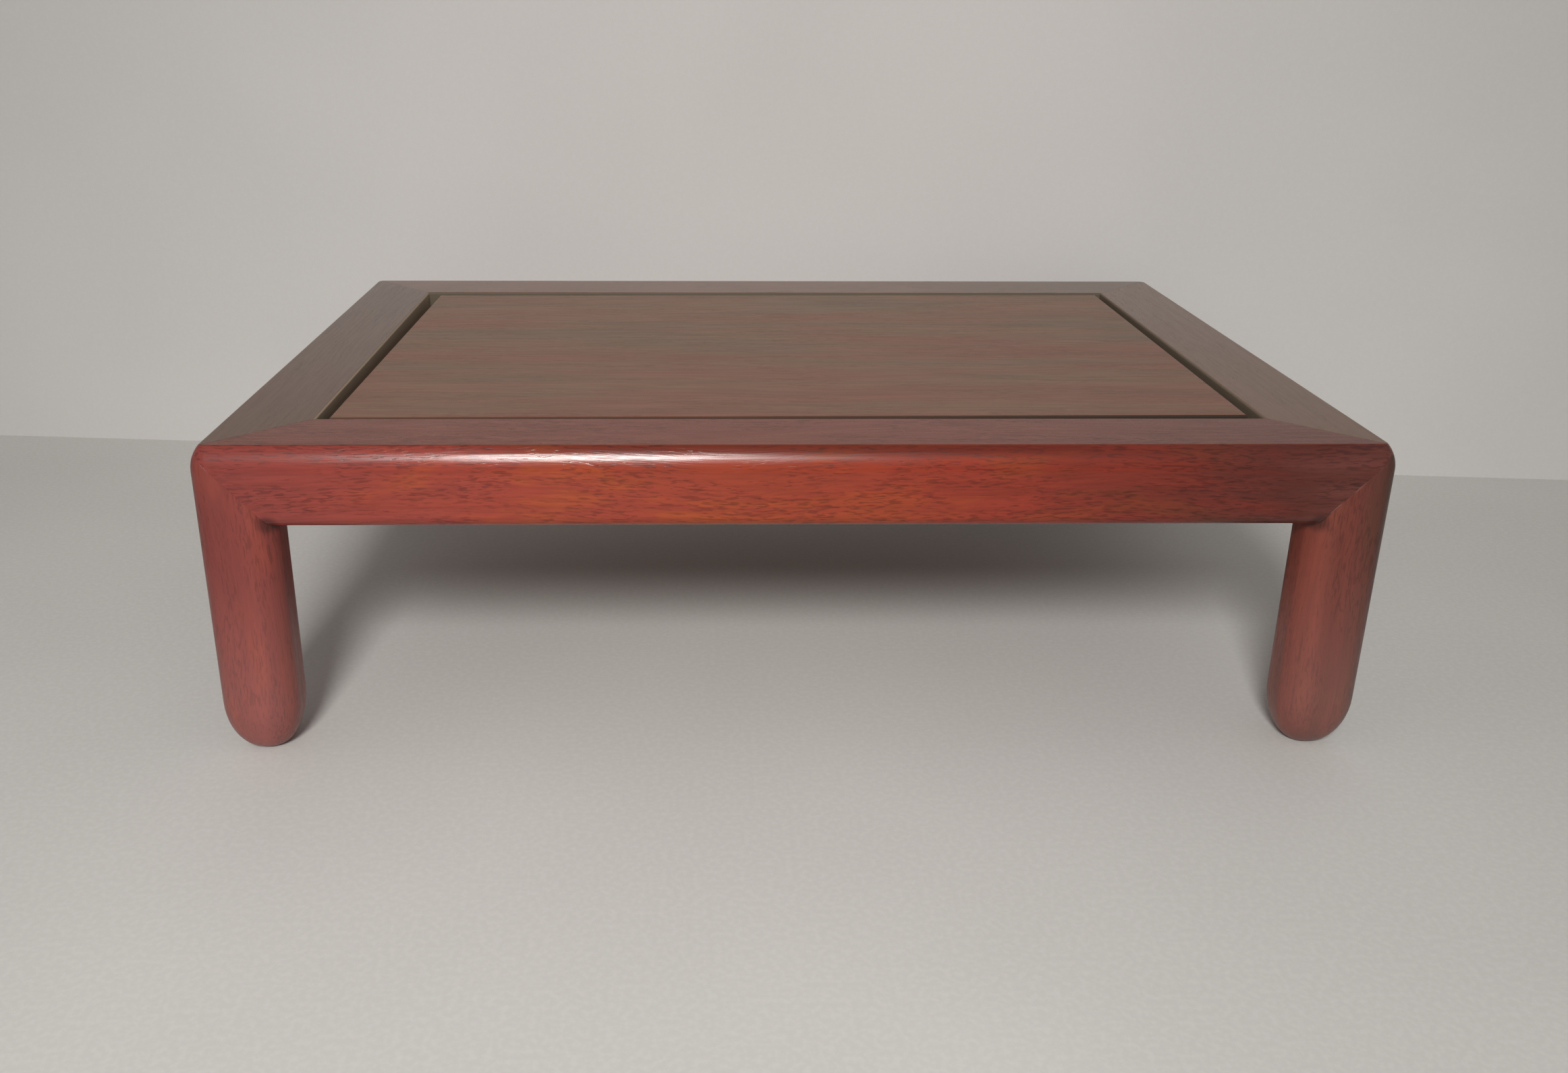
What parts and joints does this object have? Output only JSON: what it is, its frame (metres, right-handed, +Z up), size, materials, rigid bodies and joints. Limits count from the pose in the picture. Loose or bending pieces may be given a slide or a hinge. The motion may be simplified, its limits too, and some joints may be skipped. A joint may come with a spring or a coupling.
{
  "type": "chinese hardwood stand",
  "caption": "Low rectangular hardwood display stand: a mitred frame with a flush floating panel, on square legs with rounded feet, to raise a jade, vase or carving.",
  "frame": {"origin": "on the floor under the middle of the stand", "axes": "+X along the length to the right, +Y to the back so that the front faces -Y, +Z up"},
  "size_m": [0.28, 0.2, 0.08],
  "materials": {
    "rail_wood": "red hardwood, waxed to a satin shine",
    "panel_wood": "red hardwood, waxed to a satin shine, a little greyer than the frame",
    "batten_wood": "red hardwood, planed and oiled",
    "leg_wood": "red hardwood, waxed to a satin shine"
  },
  "bodies": {
    "root": {"long_rail_front": "rail_wood", "long_rail_back": "rail_wood", "end_rail_left": "rail_wood", "end_rail_right": "rail_wood", "top_panel": "panel_wood", "batten_left": "batten_wood", "batten_right": "batten_wood", "leg_front_left": "leg_wood", "leg_front_right": "leg_wood", "leg_back_left": "leg_wood", "leg_back_right": "leg_wood"}
  },
  "joints": []
}
